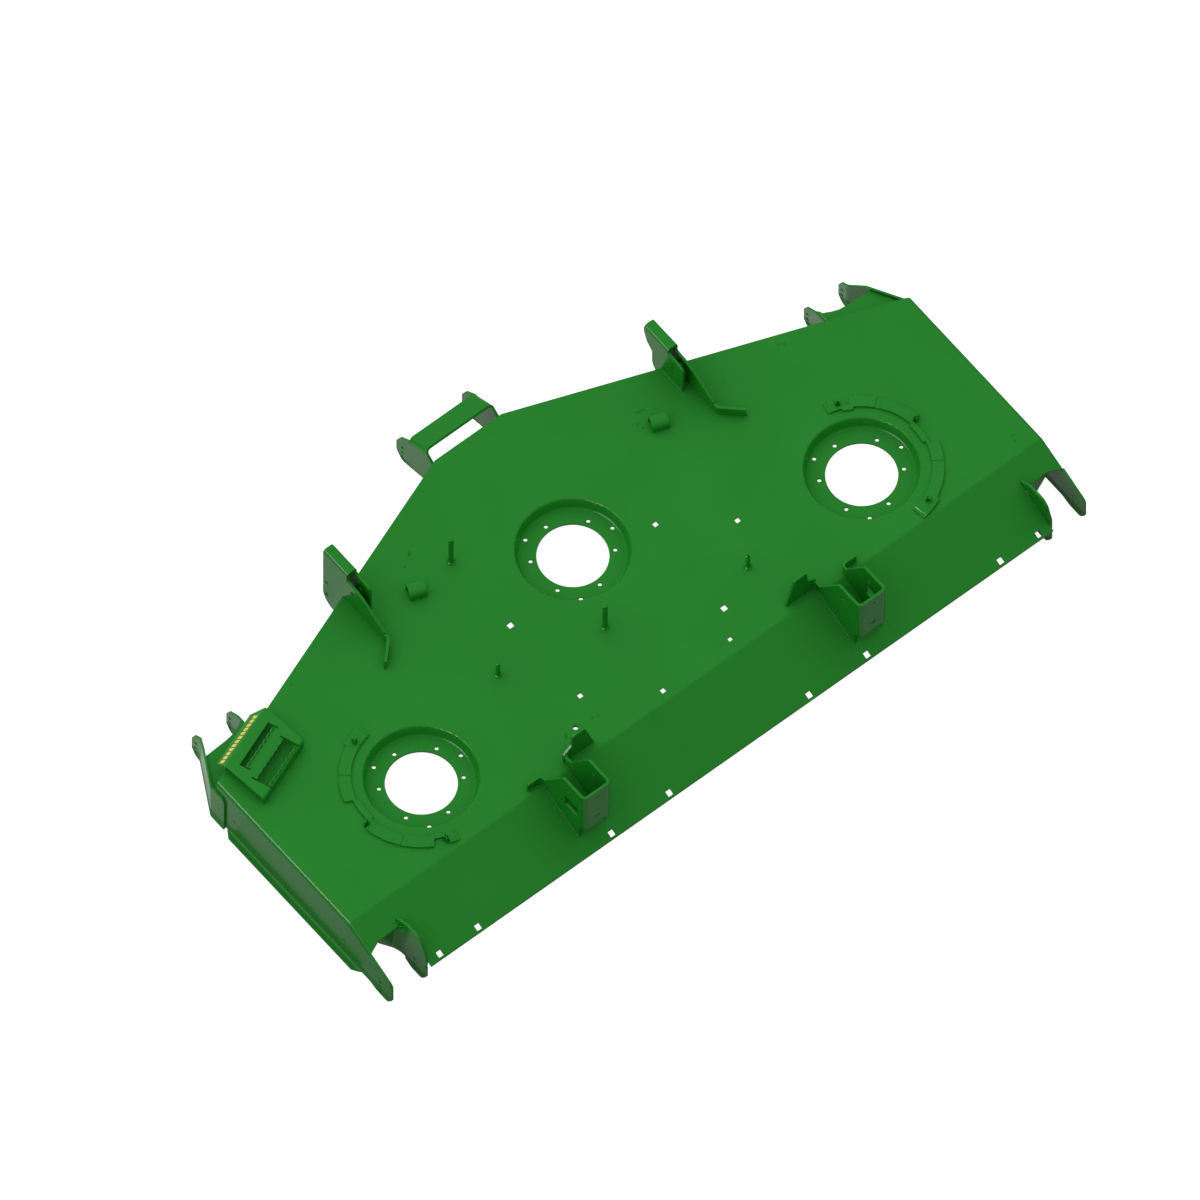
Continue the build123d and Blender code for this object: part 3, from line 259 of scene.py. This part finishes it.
def bead(mesh, points, leg, closed=False):
    """One weld bead of the given leg, with its ripples, along a polyline."""
    route = spaced([Vector(point) for point in points], RIPPLE_PITCH / RIPPLE_STEPS)
    if closed:
        route = route[:-1]
    last = len(route) - 1
    rings = []
    for number, (centre, run) in enumerate(route):
        after = (number + 1) % len(route) if closed else min(number + 1, last)
        before = number - 1 if closed else max(number - 1, 0)
        along = (route[after][0] - route[before][0]).normalized()
        side = along.cross(UP)
        side = side.normalized() if side.length > UPRIGHT else Vector((1, 0, 0))
        lift = side.cross(along)
        phase = (run / RIPPLE_PITCH) % 1.0
        radius = leg * (1.0 - RIPPLE_DEPTH + RIPPLE_DEPTH * math.sin(math.pi * phase))
        if not closed and number in (0, last):
            radius *= BEAD_END
        ring = []
        for corner in range(BEAD_SIDES):
            angle = 2 * math.pi * corner / BEAD_SIDES
            offset = side * math.cos(angle) * radius + lift * math.sin(angle) * radius
            ring.append(mesh.verts.new(centre + offset))
        rings.append(ring)
    for first, second in zip(rings, rings[1:]):
        bridge(mesh, first, second)
    if closed:
        bridge(mesh, rings[-1], rings[0])
    else:
        mesh.faces.new(rings[0])
        mesh.faces.new(rings[-1])


def beads(name, seams, leg=BEAD_LEG):
    """Several seams of one bracket as one piece."""
    mesh = bmesh.new()
    for seam in seams:
        bead(mesh, seam, leg)
    smooth(finish_piece(name, mesh, green))


def mirrored(sign, points):
    """The points on the deck's left for -1, and on its right for 1."""
    return [(sign * x, y, z) for x, y, z in points]


def across_box(name):
    """A bracket's nearest and farthest distance from the middle, and its ends in Y."""
    low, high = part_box(name)
    reach = sorted((abs(low[0]) / MM, abs(high[0]) / MM))
    return reach[0], reach[1], low[1] / MM, high[1] / MM


# Rear towers: how far the tab and the wing stand out from the walls, and where seams end
REAR_TAB_REACH = 34.0
REAR_WING_REACH = 76.0
REAR_SEAM_STOP = 17.0
SEAM_PAST_FOLD = 10.0
TAB_SEAM_INSET = (6.0, 2.0)

# Front towers: the toe of the outer plate, a dab at its tip, and the inner plate's seam
TOE_ROOT = (22.0, 50.0)
TOE_END = (5.0, 1.0)
DAB_START = (-3.0, -0.5)
DAB_END = (1.5, 3.5)
DAB_LIFT = 1.0
INNER_SEAM_SETBACK = 3.0
INNER_SEAM_STOP = 127.0

for side, sign in (("left", -1), ("right", 1)):
    wing_end, tab_end, rear_y, _ = across_box(f"rear_mount_tower_{side}")
    outer_x = tab_end - REAR_TAB_REACH
    inner_x = wing_end + REAR_WING_REACH
    seam_y = FOLD_Y + SEAM_PAST_FOLD
    stop_y = rear_y + REAR_SEAM_STOP
    foot = [
        (outer_x, seam_y, DECK_TOP),
        (outer_x, FOLD_Y, DECK_TOP),
        (outer_x, stop_y, deck_height(stop_y)),
    ]
    far_foot = [(inner_x, y, z) for x, y, z in foot]
    tab = [
        (outer_x + TAB_SEAM_INSET[0], seam_y, DECK_TOP),
        (tab_end - TAB_SEAM_INSET[1], seam_y, DECK_TOP),
    ]
    seams = [mirrored(sign, points) for points in (foot, far_foot, tab)]
    beads(f"weld_beads_rear_tower_{side}", seams)

    inner_x, toe_x, toe_y, front_y = across_box(f"front_mount_tower_{side}")
    under_toe = [
        (inner_x + TOE_ROOT[0], toe_y + TOE_ROOT[1], DECK_TOP),
        (toe_x - TOE_END[0], toe_y + TOE_END[1], DECK_TOP),
    ]
    dab = [(toe_x + x, toe_y + y, DECK_TOP + DAB_LIFT) for x, y in (DAB_START, DAB_END)]
    inner_foot = [
        (inner_x, diagonal_y(inner_x) - INNER_SEAM_SETBACK, DECK_TOP),
        (inner_x, front_y - INNER_SEAM_STOP, DECK_TOP),
    ]
    seams = [mirrored(sign, points) for points in (under_toe, dab, inner_foot)]
    beads(f"weld_beads_front_tower_{side}", seams)

# Front centre bracket: each plate's root down the nose
ROOT_OUT = 0.5
ROOT_LOW = -84.0
ROOT_HIGH = -8.0
plate_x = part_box("front_center_bracket")[1][0] / MM
root = [(plate_x, NOSE_Y + ROOT_OUT, z) for z in (ROOT_LOW, ROOT_HIGH)]
beads("weld_beads_front_center", [root, mirrored(-1, root)])

# Studs: one ring of weld each at the foot
RING_RADII = {"tall_stud_front": 9.0, "tall_stud_rear": 9.0, "short_stud": 8.0, "forked_stud": 8.0}
RING_CORNERS = 24
RING_LIFT = 0.4
RING_LEG = 1.4
for name, radius in RING_RADII.items():
    low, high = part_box(name)
    centre_x = (low[0] + high[0]) / 2 / MM
    centre_y = (low[1] + high[1]) / 2 / MM
    ring = []
    for number in range(RING_CORNERS + 1):
        angle = 2 * math.pi * number / RING_CORNERS
        ring.append((
            centre_x + radius * math.cos(angle),
            centre_y + radius * math.sin(angle),
            DECK_TOP + RING_LIFT,
        ))
    mesh = bmesh.new()
    bead(mesh, ring, RING_LEG, closed=True)
    smooth(finish_piece(f"weld_ring_{name}", mesh, green))

# Two short straight tacks on the deck's left half
TACK_PLACES = {"tack_weld_front": (-274.0, 210.0), "tack_weld_rear": (-298.0, -343.0)}
TACK_HALF = 6.0
TACK_TURN = math.radians(50.9)
TACK_LIFT = 0.6
TACK_LEG = 2.0
for name, (x, y) in TACK_PLACES.items():
    across = TACK_HALF * math.cos(TACK_TURN)
    ahead = TACK_HALF * math.sin(TACK_TURN)
    height = DECK_TOP + TACK_LIFT
    beads(name, [[(x - across, y - ahead, height), (x + across, y + ahead, height)]], TACK_LEG)

# Weld spots: low domes left on the deck top by the jigs
SPOT_PLACES = (
    (-302.0, 192.0),
    (651.0, 116.0),
    (661.0, 110.0),
    (-668.0, 119.0),
    (894.0, -366.0),
    (889.0, -380.0),
    (-226.0, -343.0),
    (-214.0, -347.0),
    (300.0, 140.0),
    (296.0, 152.0),
)
SPOT_RADIUS = 3.4
SPOT_HEIGHT = 1.5
SPOT_SIDES = 14
SPOT_RINGS = 8
mesh = bmesh.new()
for x, y in SPOT_PLACES:
    made = bmesh.ops.create_uvsphere(
        mesh, u_segments=SPOT_SIDES, v_segments=SPOT_RINGS, radius=SPOT_RADIUS
    )
    for vertex in made["verts"]:
        vertex.co.z *= SPOT_HEIGHT / SPOT_RADIUS
        vertex.co += Vector((x, y, DECK_TOP))
smooth(finish_piece("weld_spots", mesh, green))

# Short curved tack weld ahead of the right guide clip
CURVED_TACK = ((311.0, 176.0), (317.0, 174.0), (324.0, 173.0), (331.0, 170.0))
CURVED_LEG = 1.7
beads("tack_weld_curved", [[(x, y, DECK_TOP) for x, y in CURVED_TACK]], CURVED_LEG)

# Guard bands: the same ring piece round both outer dishes, turned half round on the left.
# Its outer edge is necked beside the tabs, which stand on the deck or on the band.
# Angles are in degrees. BAND_TABS gives each tab's radius, angle and foot above the deck.
DISH_PITCH = 597.0
DISH_SETBACK = -229.6
BAND_INNER = 148.5
BAND_OUTER = 174.5
BAND_SHEET = 5.0
BAND_START = -82.0
BAND_END = 79.0
BAND_STEP = 0.4
BAND_BUMP = 6.0
NECK_OUTER = 156.0
NECKS = ((-17.0, 8.0), (60.5, 71.4))
INNER_BUMPS = ((-14.0, 6.0), (58.0, 67.0))
OUTER_BUMP = (-83.0, -64.0)
BAND_DROPS = ((-83.0, -79.6, 2.0), (76.6, 80.0, 2.0), (-39.5, -33.0, 1.6), (36.5, 40.5, 1.6))
TURN_SPAN = 1.6
DROP_SPAN = 0.3
BAND_TABS = ((165.0, 69.5, 0.0), (166.0, 6.5, 0.0), (164.0, -69.0, BAND_SHEET))
TAB_WIDTH = 11.0
TAB_SHEET = 2.6
TAB_TOP = 17.0
BLOCK_FACES = ((0, 1, 2, 3), (4, 5, 6, 7), (0, 1, 5, 4), (1, 2, 6, 5), (2, 3, 7, 6), (3, 0, 4, 7))


def within(angle, start, end, span):
    """One inside a range of angles and nought outside it, with smooth ends."""
    share = min(1.0, max(0.0, min(angle - start, end - angle) / span + 0.5))
    return share * share * (3 - 2 * share)


def band_section(angle):
    """Inner radius, outer radius and top of the band at an angle."""
    inner = BAND_INNER - BAND_BUMP * max(within(angle, *bump, TURN_SPAN) for bump in INNER_BUMPS)
    neck = max(within(angle, *ends, TURN_SPAN) for ends in NECKS)
    outer = BAND_OUTER + (NECK_OUTER - BAND_OUTER) * neck
    outer += BAND_BUMP * within(angle, *OUTER_BUMP, TURN_SPAN)
    drop = max(depth * within(angle, start, end, DROP_SPAN) for start, end, depth in BAND_DROPS)
    return inner, outer, DECK_TOP + BAND_SHEET - drop


def by_dish(sign, radius, turn, height):
    """A point beside the left or right dish, from its radius, its turn and its height."""
    return (
        sign * DISH_PITCH + radius * math.cos(turn),
        DISH_SETBACK + radius * math.sin(turn),
        height,
    )


def block(mesh, centre, size, turn):
    """A small upright block, turned about Z."""
    corners = []
    for z in (-0.5, 0.5):
        for x, y in ((-0.5, -0.5), (0.5, -0.5), (0.5, 0.5), (-0.5, 0.5)):
            across = x * size[0]
            along = y * size[1]
            corners.append(mesh.verts.new((
                centre[0] + across * math.cos(turn) - along * math.sin(turn),
                centre[1] + across * math.sin(turn) + along * math.cos(turn),
                centre[2] + z * size[2],
            )))
    for face in BLOCK_FACES:
        mesh.faces.new([corners[number] for number in face])


for side, sign, start_turn in (("left", -1, math.pi), ("right", 1, 0.0)):
    mesh = bmesh.new()
    rings = []
    for number in range(round((BAND_END - BAND_START) / BAND_STEP) + 1):
        angle = BAND_START + number * BAND_STEP
        inner, outer, top = band_section(angle)
        turn = math.radians(angle) + start_turn
        section = ((inner, DECK_TOP), (inner, top), (outer, top), (outer, DECK_TOP))
        rings.append([mesh.verts.new(by_dish(sign, radius, turn, z)) for radius, z in section])
    for first, second in zip(rings, rings[1:]):
        bridge(mesh, first, second)
    mesh.faces.new(rings[0])
    mesh.faces.new(rings[-1])
    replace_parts(finish_piece(f"necked_band_{side}", mesh, green), f"guard_band_{side}")

    # Each tab is an angle of two legs
    mesh = bmesh.new()
    for radius, angle, foot in BAND_TABS:
        turn = math.radians(angle) + start_turn
        height = TAB_TOP - foot
        middle = (DECK_TOP + foot + DECK_TOP + TAB_TOP) / 2
        inner_leg = radius + TAB_SHEET / 2 - TAB_WIDTH / 2
        block(mesh, by_dish(sign, radius, turn, middle), (TAB_WIDTH, TAB_SHEET, height), turn)
        block(mesh, by_dish(sign, inner_leg, turn, middle), (TAB_SHEET, TAB_WIDTH, height), turn)
    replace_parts(finish_piece(f"standing_tabs_{side}", mesh, green), f"band_tabs_{side}")

# Foot step: a plain dashed line on the sloping front flange. A dash's place is its distance
# along the step and down the flange.
STEP_ALONG = Vector((0.93572, 0.35275, 0.0))
STEP_AHEAD = Vector((-0.35275, 0.93572, 0.0))
STEP_FRONT = 357.46
STEP_TOP = DECK_TOP + 24.3
FLANGE_OUT = 28.0
FLANGE_DROP = 30.0
DASH_COUNT = 12
DASH_START = Vector((-829.0, 24.0))
DASH_END = Vector((-692.0, 15.0))
DASH_SHARE = 0.74
DASH_HEIGHT = 14.0
FILM_BACK = 0.02
FILM_FACE = 0.35
flange_down = (STEP_AHEAD * FLANGE_OUT - UP * FLANGE_DROP).normalized()
flange_out = STEP_ALONG.cross(flange_down).normalized()
if flange_out.z < 0:
    flange_out = -flange_out


def on_flange(along, down, out):
    """A point on the flange's outer face, from its distances along, down and out of it."""
    edge = STEP_ALONG * along + STEP_AHEAD * STEP_FRONT + UP * STEP_TOP
    return edge + flange_down * down + flange_out * out


yellow = paint("yellow_film", MARKER_DEEP, MARKER, FILM_ROUGHNESS)
mesh = bmesh.new()
half_dash = (DASH_END - DASH_START) / DASH_COUNT * DASH_SHARE / 2
half_height = Vector((0.0, DASH_HEIGHT / 2))
for number in range(DASH_COUNT):
    centre = DASH_START + (DASH_END - DASH_START) * ((number + 0.5) / DASH_COUNT)
    outline = (
        centre - half_dash - half_height,
        centre + half_dash - half_height,
        centre + half_dash + half_height,
        centre - half_dash + half_height,
    )
    back, face = (
        [mesh.verts.new(on_flange(*corner, out)) for corner in outline]
        for out in (FILM_BACK, FILM_FACE)
    )
    mesh.faces.new(back)
    mesh.faces.new(face)
    bridge(mesh, back, face)
finish_piece("step_marker_dashes", mesh, yellow)

# Floor: white to the camera with the deck's faint shadow. To gloss it is a dim card that
# ends a little way out from the deck, and is brighter ahead of it. Lengths are in metres.
FLOOR_SIZE = 40.0
FLOOR_GREY = 0.30
FLOOR_SHADE = 0.97
FLOOR_BOUNCE = 0.11
FLOOR_FAR = 0.04
CARD_REACH = (1.35, 1.0)
CARD_MIDDLE_Y = -0.045
CARD_INNER = 0.75
CARD_OUTER = 1.10
CARD_Y = (-0.6, 0.6)
CARD_RAMP = (
    (0.0, 0.26),
    (0.25, 0.33),
    (0.5, 0.37),
    (0.66, 0.72),
    (0.76, 0.42),
    (0.90, 0.52),
    (1.0, 0.52),
)
bpy.ops.mesh.primitive_plane_add(size=FLOOR_SIZE, location=(0, 0, cad_box[0][2]))
floor = bpy.context.object
floor.name = "studio_floor"
material, tree, bsdf, node, ranged = shader("studio_white")
link = tree.links.new
bsdf.inputs["Base Color"].default_value = (FLOOR_GREY, FLOOR_GREY, FLOOR_GREY, 1.0)
bsdf.inputs["Roughness"].default_value = 1.0
bsdf.inputs["Specular IOR Level"].default_value = 0.0
rays = node("ShaderNodeLightPath")

# The card is an ellipse that fades out, with its own ramp of brightness along Y
place = node("ShaderNodeTexCoord")
scaled = node("ShaderNodeMapping")
scaled.inputs["Location"].default_value = (0.0, -CARD_MIDDLE_Y / CARD_REACH[1], 0.0)
scaled.inputs["Scale"].default_value = (1 / CARD_REACH[0], 1 / CARD_REACH[1], 0.0)
link(place.outputs["Object"], scaled.inputs["Vector"])
away = node("ShaderNodeVectorMath", operation="LENGTH")
link(scaled.outputs["Vector"], away.inputs[0])
split = node("ShaderNodeSeparateXYZ")
link(place.outputs["Object"], split.inputs["Vector"])
level = node("ShaderNodeValToRGB")
stops = level.color_ramp.elements
for number, (position, value) in enumerate(CARD_RAMP):
    stop = stops[number] if number < 2 else stops.new(position)
    stop.position = position
    stop.color = (value, value, value, 1.0)
link(ranged(split.outputs["Y"], *CARD_Y, 0.0, 1.0, "LINEAR"), level.inputs["Fac"])
strength = node("ShaderNodeMix", data_type="FLOAT")
strength.inputs[2].default_value = FLOOR_FAR
link(ranged(away.outputs["Value"], CARD_OUTER, CARD_INNER, 0.0, 1.0), strength.inputs[0])
link(level.outputs["Color"], strength.inputs[3])

# The camera sees the shaded floor over its glow, gloss sees the card, other rays the bounce
glow = node("ShaderNodeEmission", in_Strength=FLOOR_SHADE)
bounce = node("ShaderNodeEmission", in_Strength=FLOOR_BOUNCE)
gloss = node("ShaderNodeEmission")
link(strength.outputs[0], gloss.inputs["Strength"])
seen = node("ShaderNodeAddShader")
link(bsdf.outputs["BSDF"], seen.inputs[0])
link(glow.outputs["Emission"], seen.inputs[1])
indirect = node("ShaderNodeMixShader")
link(rays.outputs["Is Glossy Ray"], indirect.inputs["Fac"])
link(bounce.outputs["Emission"], indirect.inputs[1])
link(gloss.outputs["Emission"], indirect.inputs[2])
blend = node("ShaderNodeMixShader")
link(rays.outputs["Is Camera Ray"], blend.inputs["Fac"])
link(indirect.outputs["Shader"], blend.inputs[1])
link(seen.outputs["Shader"], blend.inputs[2])
link(blend.outputs["Shader"], tree.nodes["Material Output"].inputs["Surface"])
floor.data.materials.append(material)

# Soft sky, brighter overhead and ahead of the deck, dim in reflections, white to the camera
SKY_LEVEL = 0.62
SKY_RISE = 0.967
SKY_AHEAD = 0.75
SKY_LEAST = 0.5
SKY_GLOSS = 0.10
world = bpy.data.worlds.new("studio")
bpy.context.scene.world = world
world.use_nodes = True
sky_tree = world.node_tree
sky_link = sky_tree.links.new
direction = sky_tree.nodes.new("ShaderNodeTexCoord")
parts = sky_tree.nodes.new("ShaderNodeSeparateXYZ")
sky_link(direction.outputs["Generated"], parts.inputs["Vector"])
path = sky_tree.nodes.new("ShaderNodeLightPath")


def sky_math(operation, value):
    """A Math node that takes the value first."""
    made = sky_tree.nodes.new("ShaderNodeMath")
    made.operation = operation
    sky_link(value, made.inputs[0])
    return made


def sky(strength=1.0):
    """A white background shader."""
    made = sky_tree.nodes.new("ShaderNodeBackground")
    made.inputs["Color"].default_value = (1.0, 1.0, 1.0, 1.0)
    made.inputs["Strength"].default_value = strength
    return made


def choose(ray, other, picked):
    """One shader for a kind of ray, and another for all other rays."""
    made = sky_tree.nodes.new("ShaderNodeMixShader")
    sky_link(path.outputs[ray], made.inputs["Fac"])
    sky_link(other.outputs[0], made.inputs[1])
    sky_link(picked.outputs[0], made.inputs[2])
    return made


upward = sky_math("MULTIPLY_ADD", parts.outputs["Z"])
upward.inputs[1].default_value = SKY_RISE
upward.inputs[2].default_value = SKY_LEVEL
slope = sky_math("MULTIPLY_ADD", parts.outputs["Y"])
slope.inputs[1].default_value = SKY_AHEAD
sky_link(upward.outputs["Value"], slope.inputs[2])
floored = sky_math("MAXIMUM", slope.outputs["Value"])
floored.inputs[1].default_value = SKY_LEAST
light_sky = sky()
sky_link(floored.outputs["Value"], light_sky.inputs["Strength"])
seen_sky = choose("Is Camera Ray", choose("Is Glossy Ray", light_sky, sky(SKY_GLOSS)), sky())
sky_link(seen_sky.outputs["Shader"], sky_tree.nodes["World Output"].inputs["Surface"])

# A strip lamp low on the left, seen only as the pale lines along the bends
STRIP_TOWARD = Vector((-0.89, 0.17, 0.43))
STRIP_DISTANCE = 12.0
STRIP_LENGTH = 8.0
STRIP_HEIGHT = 1.6
STRIP_RADIANCE = 14.0
strip_data = bpy.data.lights.new("left_strip", "AREA")
strip_data.shape = "RECTANGLE"
strip_data.size = STRIP_LENGTH
strip_data.size_y = STRIP_HEIGHT
strip_data.energy = STRIP_RADIANCE * math.pi * STRIP_LENGTH * STRIP_HEIGHT
strip = bpy.data.objects.new("left_strip", strip_data)
strip.location = STRIP_TOWARD * STRIP_DISTANCE
strip.rotation_euler = (-STRIP_TOWARD).to_track_quat("-Z", "Y").to_euler()
strip.visible_diffuse = False
bpy.context.collection.objects.link(strip)

camera_data = bpy.data.cameras.new("photo_view")
camera_data.type = "ORTHO"
camera_data.ortho_scale = VIEW_WIDTH
camera_data.clip_end = VIEW_LIMIT
camera = bpy.data.objects.new("photo_view", camera_data)
camera.location = VIEW_CENTRE + VIEW_BACK * VIEW_DISTANCE
camera.rotation_euler = (-VIEW_BACK).to_track_quat("-Z", "Y").to_euler()
bpy.context.collection.objects.link(camera)
bpy.context.scene.camera = camera
bpy.context.scene.view_settings.view_transform = "Standard"
